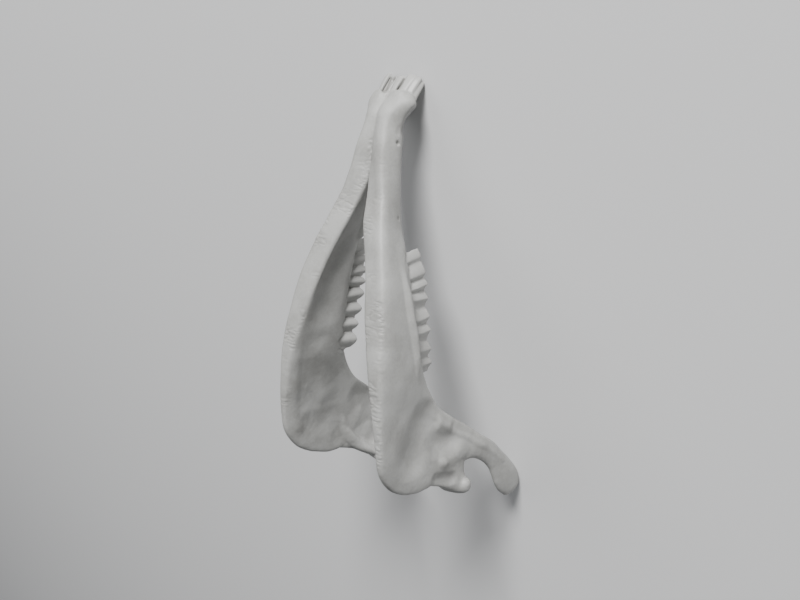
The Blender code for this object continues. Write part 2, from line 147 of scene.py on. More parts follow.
Lobe = namedtuple("Lobe", "name front ridge rear inner_front tip inner_rear width below lean")
LOBES = (
    Lobe("third_premolar", 107.6, 103.6, 101.3, 105.0, 103.2, 101.2, 4.8, 2.6, 0.15),
    Lobe("fourth_premolar", 101.7, 96.2, 94.1, 100.2, 97.6, 95.0, 6.4, 0.9, 0.15),
    Lobe("first_molar_front", 94.5, 91.6, 88.4, 94.9, 92.4, 90.0, 7.4, 0.5, 0.16),
    Lobe("first_molar_rear", 89.6, 86.4, 81.6, 89.9, 87.4, 84.5, 7.6, 0.8, 0.0),
    Lobe("second_molar_front", 82.0, 77.8, 73.6, 84.4, 81.2, 77.3, 8.2, 0.8, 0.12),
    Lobe("second_molar_rear", 75.4, 72.4, 67.4, 77.2, 73.6, 69.6, 8.2, 0.5, 0.05),
    Lobe("third_molar_front", 68.0, 64.4, 59.2, 69.5, 66.4, 62.5, 8.0, 0.6, 0.0),
    Lobe("third_molar_middle", 60.8, 58.3, 54.4, 62.5, 58.6, 54.0, 7.8, 0.0, 0.0),
    Lobe("third_molar_rear", 55.6, 54.4, 52.6, 55.2, 54.2, 53.2, 4.0, 4.0, 0.0),
)
CROWN_HEIGHT = 12.0
CROWN_TILT = 0.2
CROWN_MIDDLE = 34.0
TONGUE_DROP = 2.4
LOBE_OVERLAP = 0.35
CHEEK_EDGE = (
    (-1.0, 0.44, 1.1),
    (-0.5, 0.80, 0.6),
    (0.0, 1.00, 0.0),
    (0.5, 0.58, 0.5),
    (1.0, 0.42, 1.0),
)
TONGUE_EDGE = (
    (1.0, -0.24, 5.0),
    (0.90, -0.46, 2.6),
    (0.64, -0.70, 1.0),
    (0.30, -0.93, 0.25),
    (0.0, -1.02, 0.0),
    (-0.30, -0.93, 0.25),
    (-0.64, -0.70, 1.0),
    (-0.90, -0.46, 2.6),
    (-1.0, -0.24, 5.0),
)
TOOTH_ROW = (
    (50.0, 25.1), (61.0, 24.2), (72.0, 22.6), (82.0, 20.6), (90.0, 19.3), (98.0, 18.3), (107.0, 16.1),
    (115.0, 14.0),
)

Incisor = namedtuple("Incisor", "name neck edge width turn")
INCISORS = (
    Incisor("first_incisor", (2.3, 172.0, 30.2), (2.45, 180.0, 34.8), 4.6, 4),
    Incisor("second_incisor", (6.2, 171.8, 31.0), (7.1, 180.9, 35.7), 5.1, 16),
    Incisor("third_incisor", (8.4, 171.0, 32.4), (9.2, 180.2, 36.7), 4.8, 24),
    Incisor("corner_incisor", (9.8, 169.8, 33.8), (10.4, 178.3, 38.0), 3.4, 50),
)
INCISOR_THICKNESS = 3.4
INCISOR_EDGE_THICKNESS = 1.5
INCISOR_ROOT = 4.0

# Where teeth stand in the jaw, and how far from them their distance is looked for.
SOCKETS_LOW = 24
CHEEK_TEETH_Y = (48, 112)
INCISORS_FROM = 162
TOOTH_REACH = 4.0

# How the skin is worked: the bone's coarser voxels, rounds of smoothing, the groove where bone meets
# tooth, how much painted shade is laid into a dent of a front tooth, and the seed of each side's noise.
BONE_VOXEL = VOXEL * 1.15
BONE_SMOOTHING = 14
SKIN_SMOOTHING = 2
PREMOLAR_SMOOTHING = 24
HOLLOW_SMOOTHING = 6
NECK_GROOVE = 0.3
NECK_GROOVE_FROM = 0.5
NECK_GROOVE_WIDTH = 0.9
DENT_SHADE = 0.3
SEEDS = {1: 40, -1: 80}

# Forms worked into the sides of the bone, seen from the side: the face that they are on (1 the
# cheek side, -1 the tongue side), a path of (Y, Z), the radius of their slope, their height and
# the share of the path over which each end rises.
Stroke = namedtuple("Stroke", "side path radius height taper", defaults=(0.3,))

STROKES = (
    # The root swelling along the molars, and the hollow over it.
    Stroke(1, ((104, 22), (95, 22.4), (85, 23.2), (76.7, 24.4), (68, 25.6), (58, 27.4), (50, 30)), 3.2, 1.7),
    Stroke(1, ((96, 27.6), (84, 28.2), (76, 29.2), (68, 30.2), (58, 32)), 3.0, -0.9),
    # The fossa of the masseter and the lip round it.
    Stroke(1, ((34, 33), (27, 30), (19, 26)), 12.0, -2.0, 0.0),
    Stroke(1, ((44, 28), (36, 19), (27, 13.5), (17, 12.5), (9, 18)), 5.6, 0.25, 0.4),
    # The front edge of the coronoid process, a ridge behind it and the hollow behind that.
    Stroke(1, ((42, 36.5), (34, 42), (26, 53), (20.5, 63), (15, 73), (9, 81.5), (2, 89.5)), 2.2, 0.4, 0.2),
    Stroke(1, ((32.0, 41.0), (30.6, 45.0), (26.8, 54.5)), 5.0, 0.9, 0.3),
    Stroke(1, ((21.8, 42.5), (20.6, 51.0)), 8.5, -1.4, 0.0),
    # The knob below the notch, the swelling up from it and the pit behind it.
    Stroke(1, ((12.0, 46.4), (11.6, 47.4)), 3.2, 0.8, 0.0),
    Stroke(1, ((12.6, 49.0), (14.6, 57.5)), 6.5, 0.6, 0.0),
    Stroke(1, ((5.2, 43.5), (2.8, 53.0)), 4.4, -1.1, 0.0),
    # The front mental foramen with the groove that leads from it, and the small rear one.
    Stroke(1, ((152.5, 26.6), (152.0, 27.0)), 1.1, -1.0, 0.0),
    Stroke(1, ((154.5, 26.6), (160.0, 27.2)), 1.4, -0.3),
    Stroke(1, ((121.0, 25.4), (120.4, 25.6)), 0.9, -0.7, 0.0),
    # The hollow over the swelling of the front sockets.
    Stroke(1, ((165, 33), (158, 31)), 4.0, -0.8, 0.0),
    # The long hollow of the tongue side, the rim above it in front of the teeth, and the swelling
    # behind it.
    Stroke(-1, ((116, 20), (98, 17), (82, 16), (64, 17)), 10.0, -1.9),
    Stroke(-1, ((134, 27.5), (124, 28.5), (114, 29.4), (106, 29)), 4.0, 2.3, 0.2),
    Stroke(-1, ((54, 19), (44, 24), (34, 27)), 9.0, 0.9, 0.0),
    # The raised rim of the angle.
    Stroke(-1, ((57.5, 6.4), (48, 7.6), (40, 8.4), (31, 9.4), (21, 10.8), (12, 14.6)), 3.4, 0.35, 0.12),
    # The hollow of the mandibular foramen.
    Stroke(-1, ((27.0, 50.0), (25.6, 58.0)), 9.5, -1.2, 0.0),
    # The crest that runs down from the inner end of the condyle, the swelling and the hollow beside
    # it, and a low ridge in front.
    Stroke(-1, ((18.8, 39.5), (13.8, 41.3), (8.3, 45.6), (1.6, 52.0)), 2.8, 0.8),
    Stroke(-1, ((13, 50), (9, 56)), 8.5, 1.3, 0.0),
    Stroke(-1, ((17, 33), (10, 37), (4, 43)), 5.0, -0.4),
    Stroke(-1, ((50, 40), (42, 46), (33, 53), (27, 62)), 2.6, 0.3),
    # The hollow of the pterygoid muscle.
    Stroke(-1, ((18, 30), (16, 20)), 9.0, -0.7, 0.0),
)

# Patches roughened by muscles: side, centre (Y, Z), radius and height of the lumps.
SCARS = (
    (-1, (36, 12), 10.0, 0.22),
    (-1, (20, 17), 10.0, 0.22),
    (-1, (27, 33), 7.0, 0.14),
    (1, (28, 15), 10.0, 0.14),
    (1, (9, 20), 7.0, 0.2),
    (-1, (10, 29), 7.0, 0.16),
)

# How the rear of the right angle stands out: centre (Y, Z), radius and height.
RIGHT_ANGLE = ((0.0, 40.0), 16.0, 1.4)

# Small pits in the bone: (X, Y, Z), radius and depth. A depth under 0 fills a hollow.
PITS = (
    ((0.0, 165.0, 24.7), 7.5, -0.9),
    ((0.2, 152.7, 19.4), 2.2, 1.1),
    ((1.0, 148.6, 19.2), 1.1, 0.6),
    ((4.2, 166.0, 25.4), 0.8, 0.5),
    ((2.2, 161.5, 22.6), 0.6, 0.4),
)

# Dents in the front teeth: the sides that have them, a path of (X, Y, Z), radius and depth.
DENTS = (
    ((-1, 1), ((4.5, 173.4, 29.6), (4.9, 181.4, 34.4)), 1.5, 1.8),
    ((1,), ((2.4, 174.2, 29.8), (2.4, 178.4, 32.6)), 3.0, 2.0),
)

CAMERA_EYE = (-282.246, 162.258, -242.994)
CAMERA_FORWARD = (0.685941, -0.198005, 0.700199)
CAMERA_ROLL = 4.122
CAMERA_LENS = 36.0 * 896.32 / 800

BONE_LIGHT = (0.40, 0.40, 0.385, 1.0)
BONE_DARK = (0.29, 0.287, 0.272, 1.0)
# Painted shade: the near-black colour laid into hollows, grooves and the dents of the front teeth.
PAINTED_CREVICE_SHADE = (0.13, 0.125, 0.11, 1.0)
ENAMEL = (0.42, 0.418, 0.402, 1.0)
SPECK_SHARE = 0.35
ENAMEL_SHARE = 0.55
# The greatest share of painted shade, reached in the deepest hollows.
PAINTED_SHADE_SHARE = 0.55
TOOTH_POLISH = 0.1
PORE_SHARE = 0.5


def smooth_rows(rows, steps):
    """Rows on a Catmull-Rom curve through the given rows."""
    rows = np.array(rows, dtype=float)
    ends = np.vstack([rows[:1], rows, rows[-1:]])
    found = []
    for p, q, r, s in zip(ends, ends[1:], ends[2:], ends[3:]):
        for t in np.arange(steps) / steps:
            bend = (2 * p - 5 * q + 4 * r - s) * t**2 + (3 * q - p - 3 * r + s) * t**3
            found.append(0.5 * (2 * q + (r - p) * t + bend))
    found.append(rows[-1])
    return np.array(found)


def row_x(y):
    places, values = zip(*TOOTH_ROW)
    return np.interp(y, places, values)


def rung_ring(row):
    """The closed outline of the bone across one rung, as an array of points."""
    rung = Rung(*row)
    low = np.array((rung.low_x, rung.low_y, rung.low_z))
    high = np.array((rung.high_x, rung.high_y, rung.high_z))
    along = (high - low) / np.linalg.norm(high - low)
    out = np.array((1.0, 0.0, 0.0)) - along * along[0]
    out /= np.linalg.norm(out)
    turn = np.linspace(0, math.pi, RING_POINTS)
    share = np.concatenate([(1 - np.cos(turn)) / 2, (1 + np.cos(turn[1:-1])) / 2])
    side = np.concatenate([np.ones(RING_POINTS), -np.ones(RING_POINTS - 2)])
    power = np.where(side > 0, rung.outer, rung.inner)
    power = np.where(share < 0.5, power, HIGH_CRISP)
    width = (
        rung.low_w * (1 - share) * (1 - 2 * share)
        + rung.mid_w * 4 * share * (1 - share)
        + rung.high_w * share * (2 * share - 1)
    )
    across = side * width / 2 * (1 - np.abs(2 * share - 1) ** power) ** (1 / power)
    bow = rung.bow * 4 * share * (1 - share)
    lift = rung.lift * (1 - share) ** 3 * (0.5 - across / rung.low_w)
    line = low + np.outer(share, high - low)
    return line + np.outer(across + bow, out) + np.outer(lift, along)


def domed(rings, depth):
    """The rings with each end closed by a round dome."""
    found = list(rings)
    for first, ring, neighbour in ((True, rings[0], rings[1]), (False, rings[-1], rings[-2])):
        centre = ring.mean(axis=0)
        push = centre - neighbour.mean(axis=0)
        push /= np.linalg.norm(push)
        dome = [
            centre + (ring - centre) * math.cos(a) + push * depth * math.sin(a)
            for a in np.radians((25, 45, 62, 76, 86))
        ]
        if first:
            found = dome[::-1] + found
        else:
            found = found + dome
    return found


class Shells:
    """Closed skins through rings of points, gathered in one mesh."""

    def __init__(self):
        self.points, self.faces = [], []

    def add(self, rings):
        sides, start = len(rings[0]), len(self.points)
        for ring in rings:
            self.points.extend(ring)
        for k in range(len(rings) - 1):
            for n in range(sides):
                after = (n + 1) % sides
                a, b = start + k * sides, start + (k + 1) * sides
                self.faces.append((a + n, a + after, b + after, b + n))
        self.faces.append(tuple(range(start, start + sides)))
        self.faces.append(tuple(range(start + (len(rings) - 1) * sides, start + len(rings) * sides)))

    def mesh(self, name):
        data = bpy.data.meshes.new(name)
        data.from_pydata([tuple(p) for p in self.points], [], self.faces)
        work = bmesh.new()
        work.from_mesh(data)
        bmesh.ops.recalc_face_normals(work, faces=work.faces)
        bmesh.ops.triangulate(work, faces=[f for f in work.faces if len(f.verts) > 4])
        work.to_mesh(data)
        work.free()
        return data


def ribbon(shells, rungs, dome):
    rings = [rung_ring(row) for row in smooth_rows(rungs, RUNG_STEPS)]
    shells.add(domed(rings, dome))


def condyle(shells):
    around = np.linspace(0, math.tau, CONDYLE_POINTS, endpoint=False)
    rings = []
    for share, rise, y_radius, z_radius in smooth_rows(CONDYLE_SECTIONS, 4):
        x = CONDYLE_OUT + share * CONDYLE_WIDTH / 2
        y = CONDYLE_REAR + share * CONDYLE_SLANT + y_radius * np.cos(around)
        z = CONDYLE_HEIGHT + rise + z_radius * np.sin(around)
        rings.append(np.column_stack([np.full(CONDYLE_POINTS, x), y, z]))
    shells.add(rings)


def inner_crest(shells):
    around = np.linspace(0, math.tau, CREST_POINTS, endpoint=False)
    rows = smooth_rows(INNER_CREST, RUNG_STEPS)
    rings = []
    for k, (y, z, x, across, along) in enumerate(rows):
        before, after = rows[max(k - 1, 0)], rows[min(k + 1, len(rows) - 1)]
        side = np.array((before[1] - after[1], after[0] - before[0]))
        side = side / np.linalg.norm(side) * along
        rings.append(np.column_stack([
            x + across * np.cos(around),
            y + side[0] * np.sin(around),
            z + side[1] * np.sin(around),
        ]))
    shells.add(rings)


def edge_place(front, ridge, rear, step):
    if step < 0:
        return ridge - (front + LOBE_OVERLAP - ridge) * step
    return ridge + (rear - LOBE_OVERLAP - ridge) * step


def lobe_outline(row):
    """The edge of a lobe as rows of (Y, distance across the row, drop), crisp on the cheek side."""
    cheek = [
        (edge_place(row.front, row.ridge, row.rear, step), across * row.width / 2, drop)
        for step, across, drop in CHEEK_EDGE
    ]
    tongue = [
        (edge_place(row.inner_front, row.tip, row.inner_rear, step), across * row.width / 2,
         drop + TONGUE_DROP)
        for step, across, drop in TONGUE_EDGE
    ]
    return np.vstack([cheek_curve(cheek), smooth_rows(tongue, 3)])


def cheek_curve(rows):
    """The cheek side's edge: nearly straight flanks that meet on a narrow rounded ridge."""
    rows = np.array(rows)
    places = np.array((0, 0.5, 1, 1.5, 1.85, 2, 2.15, 2.5, 3, 3.5, 4))
    found = np.column_stack([np.interp(places, range(5), rows[:, k]) for k in range(3)])
    found[5, 1] -= 0.12
    return found


def lobe(shells, row, draw):
    outline = lobe_outline(row)
    middle = outline[:, 0].mean()
    top = CROWN_TOP - row.below + draw.uniform(-0.2, 0.2)
    levels = (
        (top - CROWN_HEIGHT - SOCKET_DEPTH, 0.0, 0.50),
        (top - CROWN_HEIGHT, 0.0, 0.74),
        (top - CROWN_HEIGHT * 0.85, 0.0, 0.86),
        (top - CROWN_HEIGHT * 0.6, 0.0, 0.97),
        (top - CROWN_HEIGHT * 0.3, 0.15, 1.0),
        (top - 0.35, 1.0, 0.985),
        (top, 1.0, 0.92),
        (top - 0.15, 1.0, 0.82),
        (top - 0.9, 0.8, 0.66),
        (top - 2.2, 0.4, 0.44),
        (top - 1.9, 0.2, 0.26),
        (top - 1.6, 0.1, 0.1),
    )
    rings = []
    for height, follow, size in levels:
        y = middle + (outline[:, 0] - middle) * size
        z = height - follow * outline[:, 2]
        rise = z - CROWN_MIDDLE
        x = row_x(y) + outline[:, 1] * size - CROWN_TILT * rise
        rings.append(np.column_stack([x, y + row.lean * rise, z]))
    shells.add(rings)


def signed_power(values, power):
    return np.sign(values) * np.abs(values) ** power


def incisor(shells, row):
    neck, edge = np.array(row.neck), np.array(row.edge)
    crown = np.linalg.norm(edge - neck)
    along = (edge - neck) / crown
    turn = math.radians(row.turn)
    face = np.array((math.sin(turn), 0.0, -math.cos(turn)))
    face = face - along * face.dot(along)
    face /= np.linalg.norm(face)
    across = np.cross(along, face)
    levels = smooth_rows((
        (-INCISOR_ROOT / crown, 0.50, INCISOR_THICKNESS * 0.7),
        (0.0, 0.74, INCISOR_THICKNESS),
        (0.35, 0.86, INCISOR_THICKNESS * 0.96),
        (0.75, 0.99, INCISOR_THICKNESS * 0.72),
        (0.94, 0.97, INCISOR_EDGE_THICKNESS),
        (1.00, 0.76, INCISOR_EDGE_THICKNESS * 0.6),
    ), 5)
    around = np.linspace(0, math.tau, INCISOR_POINTS, endpoint=False)
    cos = signed_power(np.cos(around), INCISOR_SQUARENESS)
    sin = signed_power(np.sin(around), INCISOR_SQUARENESS)
    rings = []
    for share, width, thickness in levels:
        centre = neck + along * crown * share
        flat = np.outer(cos * width * row.width / 2, across) + np.outer(sin * thickness / 2, face)
        rings.append(centre + flat)
    shells.add(rings)


def with_modifiers(data, settings):
    """The mesh after a stack of modifiers, given as (type, {name: value})."""
    obj = bpy.data.objects.new("work", data)
    bpy.context.scene.collection.objects.link(obj)
    for kind, values in settings:
        modifier = obj.modifiers.new(kind.lower(), kind)
        for name, value in values.items():
            setattr(modifier, name, value)
    graph = bpy.context.evaluated_depsgraph_get()
    made = bpy.data.meshes.new_from_object(obj.evaluated_get(graph))
    bpy.data.objects.remove(obj)
    return made


def fused(data, voxel, rounds):
    """The shells fused into one fine skin, and smoothed."""
    return with_modifiers(data, (
        ("REMESH", {"mode": "VOXEL", "voxel_size": voxel, "use_smooth_shade": True}),
        ("SMOOTH", {"factor": 0.5, "iterations": rounds}),
    ))


def coordinates(data):
    found = np.empty(len(data.vertices) * 3)
    data.vertices.foreach_get("co", found)
    return found.reshape(-1, 3)


def normals(data):
    found = np.empty(len(data.vertices) * 3)
    data.vertices.foreach_get("normal", found)
    return found.reshape(-1, 3)


def place(data, points):
    data.vertices.foreach_set("co", points.ravel())
    data.update()


def merged(first, second):
    """One mesh of two."""
    work = bmesh.new()
    work.from_mesh(first)
    work.from_mesh(second)
    data = bpy.data.meshes.new("merged")
    work.to_mesh(data)
    work.free()
    return data


def value_noise(points, seed):
    """Smooth noise between -1 and 1, with one lump for each unit of length."""
    cell = np.floor(points).astype(np.int64)
    inner = points - cell
    inner = inner * inner * (3 - 2 * inner)
    total = np.zeros(len(points))
    for corner in np.ndindex(2, 2, 2):
        at = cell + corner
        mix = at[:, 0] * 374761393 + at[:, 1] * 668265263 + at[:, 2] * 2147483647 + seed * 97531
        mix = (mix ^ (mix >> 13)) * 1274126177
        value = ((mix ^ (mix >> 16)) & 0xFFFF) / 32767.5 - 1
        weight = np.prod(np.where(corner, inner, 1 - inner), axis=1)
        total += value * weight
    return total


def layered_noise(points, scale, seed, layers=3):
    """Noise with lumps of about the given size in millimetres, and finer ones in them."""
    total = np.zeros(len(points))
    for layer in range(layers):
        total += value_noise(points * (2.0**layer / scale) + 17.3 * layer, seed + layer) / 2**layer
    return total


def near_path(points, path):
    """How far each point is from a path, and how far along the path, as a share of its length."""
    path = np.array(path, dtype=float)
    lengths = np.linalg.norm(path[1:] - path[:-1], axis=1)
    best = np.full(len(points), np.inf)
    along = np.zeros(len(points))
    done = 0.0
    for start, end, length in zip(path, path[1:], lengths):
        line = end - start
        share = np.clip((points - start) @ line / (line @ line), 0, 1)
        gap = np.linalg.norm(points - start - np.outer(share, line), axis=1)
        along = np.where(gap < best, (done + share * length) / lengths.sum(), along)
        best = np.minimum(best, gap)
        done += length
    return best, along


def fade(distance, radius):
    """1 at a distance of 0, falling smoothly to 0 at the radius."""
    share = np.clip(1 - (distance / radius) ** 2, 0, 1)
    return share * share


def step_up(value, low, high):
    share = np.clip((value - low) / (high - low), 0, 1)
    return share * share * (3 - 2 * share)


def swollen(points, side):
    """The bone's points, with the rear of the right angle standing out further than the left."""
    centre, radius, push = RIGHT_ANGLE
    distance = np.linalg.norm(points[:, 1:] - np.array(centre), axis=1)
    return points - np.outer((side > 0) * push * fade(distance, radius), (0, 1, 0))


def carved(points, facing, seed):
    """How far each point of the bone moves along its normal, in millimetres."""
    move = np.zeros(len(points))
    flat = points[:, 1:]
    wander = 0.5 * layered_noise(points, 5.0, seed + 5, 1)[:, None]
    for stroke in STROKES:
        shown = step_up(facing[:, 0] * stroke.side, 0.15, 0.6)
        distance, along = near_path(flat + wander, smooth_rows(stroke.path, 4))
        if stroke.taper:
            shown = shown * step_up(np.minimum(along, 1 - along), 0, stroke.taper)
        move += stroke.height * shown * fade(distance, stroke.radius)
    for centre, radius, depth in PITS:
        distance = np.linalg.norm(points - np.array(centre), axis=1)
        move -= depth * fade(distance, radius)
    return move


def ridged(points, scale, seed):
    """Narrow ridges with heights from 0 to 1."""
    return 1 - np.clip(np.abs(layered_noise(points, scale, seed, 2)) * 2.2, 0, 1)


def scars(points, facing, seed):
    """Fine grooves across the lower border, and low lumps where muscles held on."""
    y = points[:, 1]
    lower = step_up(-facing[:, 2], 0.2, 0.7) * step_up(y, 4, 20) * step_up(-y, -150, -132)
    patch = step_up(layered_noise(points, 9.0, seed + 21, 2), -0.3, 0.5)
    move = -0.26 * lower * patch * ridged(points * (0.25, 1.0, 0.3), 1.3, seed + 11)
    grain = 0.6 * layered_noise(points, 5.0, seed + 61, 2)
    for side, centre, radius, height in SCARS:
        shown = step_up(facing[:, 0] * side, 0.2, 0.7)
        distance = np.linalg.norm(points[:, 1:] - np.array(centre), axis=1)
        move += height * shown * fade(distance, radius) * grain
    return move


def dents(points, side):
    """How deep each point lies in a dent of the front teeth, in millimetres."""
    deep = np.zeros(len(points))
    for sides, path, radius, depth in DENTS:
        if side in sides:
            distance, _ = near_path(points, path)
            deep = np.maximum(deep, depth * fade(distance, radius))
    return deep


def seam(points, seed):
    """Where the two halves meet, the seam's edge wanders and is rough."""
    near = fade(points[:, 0], 2.2) * step_up(points[:, 1], 134, 139) * step_up(-points[:, 1], -156, -150)
    return -0.3 * near * (1 + layered_noise(points, 1.6, seed + 31, 2))


def textured(points):
    """The uneven ground of dry bone at several scales, the same on both sides of the midline."""
    mirrored = np.abs(points[:, :1]) * (1, 0, 0) + points * (0, 1, 1)
    move = 0.22 * layered_noise(mirrored, 16.0, 3, 2)
    move += 0.07 * layered_noise(mirrored * (1, 0.6, 1), 4.0, 13, 2)
    rough = step_up(-points[:, 1], -40, -5)
    move += (0.015 + 0.03 * rough) * layered_noise(mirrored, 1.2, 23, 2)
    return move


def cut_at_midline(data):
    """The mesh cut flat at the midline, with a sharp edge round the cut."""
    work = bmesh.new()
    work.from_mesh(data)
    parts = work.verts[:] + work.edges[:] + work.faces[:]
    cut = bmesh.ops.bisect_plane(
        work, geom=parts, plane_co=(MIDLINE_TOUCH, 0, 0), plane_no=(-1, 0, 0), clear_outer=True
    )
    rim = [e for e in cut["geom_cut"] if isinstance(e, bmesh.types.BMEdge)]
    for edge in rim:
        edge.smooth = False
    caps = bmesh.ops.holes_fill(work, edges=rim)["faces"]
    bmesh.ops.triangulate(work, faces=caps)
    work.to_mesh(data)
    work.free()


def neighbours_mean(data, values):
    """For each vertex, the mean of a value over its neighbours."""
    pairs = np.empty(len(data.edges) * 2, dtype=np.int64)
    data.edges.foreach_get("vertices", pairs)
    a, b = pairs[0::2], pairs[1::2]
    count = np.bincount(a, minlength=len(values)) + np.bincount(b, minlength=len(values))
    total = np.bincount(a, values[b], len(values)) + np.bincount(b, values[a], len(values))
    return total / np.maximum(count, 1)


def relaxed(data, weight, rounds):
    """The skin smoothed where the weight of its points is above 0."""
    points = coordinates(data)
    for _ in range(rounds):
        mean = np.column_stack([neighbours_mean(data, points[:, k]) for k in range(3)])
        points += (mean - points) * weight[:, None]
    place(data, points)


def hollowness(data, rounds):
    """How hollow (positive) or raised (negative) the skin is round each vertex."""
    points, facing = coordinates(data), normals(data)
    mean = np.column_stack([neighbours_mean(data, points[:, k]) for k in range(3)])
    found = np.einsum("ij,ij->i", mean - points, facing) / VOXEL**2
    for _ in range(rounds):
        found = neighbours_mean(data, found)
    return found


def store(data, name, values):
    layer = data.attributes.new(name, "FLOAT", "POINT")
    layer.data.foreach_set("value", values.astype(np.float32))


def bone_shells():
    shells = Shells()
    ribbon(shells, BODY_RUNGS, BODY_DOME)
    front_rows = smooth_rows(BODY_RUNGS, RUNG_STEPS)[:FRONT_RINGS]
    other_front = [rung_ring(row) * (-1, 1, 1) for row in front_rows]
    shells.add(domed(other_front, BODY_DOME))
    ribbon(shells, CORONOID_RUNGS, CORONOID_DOME)
    ribbon(shells, NECK_RUNGS, NECK_DOME)
    condyle(shells)
    inner_crest(shells)
    return shells


def tooth_shells(draw):
    shells = Shells()
    for row in LOBES:
        lobe(shells, row, draw)
    for row in INCISORS:
        incisor(shells, row)
    return shells


def tooth_distance(points, teeth):
    """The distance of each point from the teeth, up to TOOTH_REACH."""
    work = bmesh.new()
    work.from_mesh(teeth)
    tree = BVHTree.FromBMesh(work)
    work.free()
    found = np.full(len(points), TOOTH_REACH)
    y, z = points[:, 1], points[:, 2]
    cheek = (z > SOCKETS_LOW) & (y > CHEEK_TEETH_Y[0]) & (y < CHEEK_TEETH_Y[1])
    close = cheek | (y > INCISORS_FROM)
    for k in np.nonzero(close)[0]:
        hit = tree.find_nearest(points[k], TOOTH_REACH)
        if hit[3] is not None:
            found[k] = hit[3]
    return found


def turned(points):
    """Points of the jaw's own frame, in millimetres, as row frame metres."""
    return points @ TURN.T * MM + ORIGIN


def rest_turn():
    rear, front = Vector((0, *CORONOID_REST)), Vector((0, *INCISOR_REST))
    down = Vector((1, 0, 0)).cross(front - rear).normalized()
    return np.array(down.rotation_difference(Vector((0, 0, -1))).to_matrix())


TURN = rest_turn()
ORIGIN = np.array(REST_ORIGIN) * MM


def bone_skin(side, seed):
    """The bone of one half in one skin, carved and uneven."""
    bone = fused(bone_shells().mesh("bone"), BONE_VOXEL, BONE_SMOOTHING)
    points, facing = coordinates(bone), normals(bone)
    move = carved(points, facing, seed) + textured(points)
    points = swollen(points, side)
    place(bone, points + facing * move[:, None])
    return bone


def soften_premolars(skin):
    points = coordinates(skin)
    premolar = step_up(points[:, 1], 94.0, 95.5) * step_up(-points[:, 1], -116, -112)
    relaxed(skin, 0.5 * premolar * step_up(points[:, 2], 29, 31), PREMOLAR_SMOOTHING)


def work_surface(skin, teeth, side, seed):
    """The last fine forms of the skin, and what its material reads from each point."""
    points, facing = coordinates(skin), normals(skin)
    gap = tooth_distance(points, teeth)
    on_bone = step_up(gap, 0.15, 0.5)
    move = on_bone * (scars(points, facing, seed) + seam(points, seed))
    move -= NECK_GROOVE * on_bone * fade(gap - NECK_GROOVE_FROM, NECK_GROOVE_WIDTH)
    dent = dents(points, side)
    place(skin, points + facing * (move - dent)[:, None])
    # The hollow attribute holds painted shade: the skin's hollowness, and more in the dents of the front
    # teeth.
    store(skin, "hollow", hollowness(skin, HOLLOW_SMOOTHING) + DENT_SHADE * dent)
    store(skin, "tooth", 1 - step_up(gap, 0.1, 0.4))


def lay_down(skin, side):
    """The skin on its own side of the midline, turned over on to the table."""
    points = coordinates(skin)
    if side < 0:
        points[:, 0] *= -1
        skin.flip_normals()
    row_points = turned(points)
    row_points[:, 2] = np.maximum(row_points[:, 2], 0.0)
    place(skin, row_points)


def half_jaw(name, side):
    """One half of the jaw; side is 1 on the animal's right and -1 on its left."""
    seed = SEEDS[side]
    teeth = tooth_shells(np.random.default_rng(seed)).mesh("teeth")
    skin = fused(merged(bone_skin(side, seed), teeth), VOXEL, SKIN_SMOOTHING)
    soften_premolars(skin)
    work_surface(skin, teeth, side, seed)
    cut_at_midline(skin)
    lay_down(skin, side)
    skin.name = name
    obj = bpy.data.objects.new(name, skin)
    bpy.context.scene.collection.objects.link(obj)
    return obj


def link(tree, source, target):
    tree.links.new(source, target)


def node(tree, kind, **values):
    made = tree.nodes.new(kind)
    for name, value in values.items():
        if name in made.inputs:
            made.inputs[name].default_value = value
        else:
            setattr(made, name, value)
    return made


def mottling(tree, spot):
    """Broad pale and dark patches with fine specks in them."""
    mottle = node(tree, "ShaderNodeTexNoise", Scale=0.07, Detail=5.0, Roughness=0.6)
    link(tree, spot, mottle.inputs["Vector"])
    speck = node(tree, "ShaderNodeTexNoise", Scale=0.9, Detail=3.0, Roughness=0.6)
    link(tree, spot, speck.inputs["Vector"])
    both = node(tree, "ShaderNodeMath", operation="MULTIPLY_ADD")
    both.inputs[1].default_value = SPECK_SHARE
    link(tree, speck.outputs["Fac"], both.inputs[0])
    link(tree, mottle.outputs["Fac"], both.inputs[2])
    return both.outputs["Value"]


def blended(tree, share, under, over):
    """A colour laid over another by a share."""
    mix = node(tree, "ShaderNodeMix", data_type="RGBA")
    mix.inputs[7].default_value = over
    link(tree, share, mix.inputs[0])
    link(tree, under, mix.inputs[6])
    return mix.outputs[2]


def bone_colour(tree, mottle, tooth):
    """Mottled bone, paler on the crowns, with shade painted dark into hollows and dents."""
    ramp = node(tree, "ShaderNodeValToRGB")
    dark, light = ramp.color_ramp.elements
    dark.position, dark.color = 0.45, BONE_DARK
    light.position, light.color = 0.80, BONE_LIGHT
    link(tree, mottle, ramp.inputs["Fac"])
    crown_share = node(tree, "ShaderNodeMath", operation="MULTIPLY")
    crown_share.inputs[1].default_value = ENAMEL_SHARE
    link(tree, tooth, crown_share.inputs[0])
    crown = blended(tree, crown_share.outputs["Value"], ramp.outputs["Color"], ENAMEL)
    # Painted shade: hollows and the dents of the front teeth are darkened towards the crevice shade colour.
    hollow = node(tree, "ShaderNodeAttribute", attribute_name="hollow")
    deep = node(tree, "ShaderNodeMapRange")
    deep.inputs["From Min"].default_value = 0.05
    deep.inputs["From Max"].default_value = 0.45
    deep.inputs["To Max"].default_value = PAINTED_SHADE_SHARE
    link(tree, hollow.outputs["Fac"], deep.inputs["Value"])
    return blended(tree, deep.outputs["Result"], crown, PAINTED_CREVICE_SHADE)


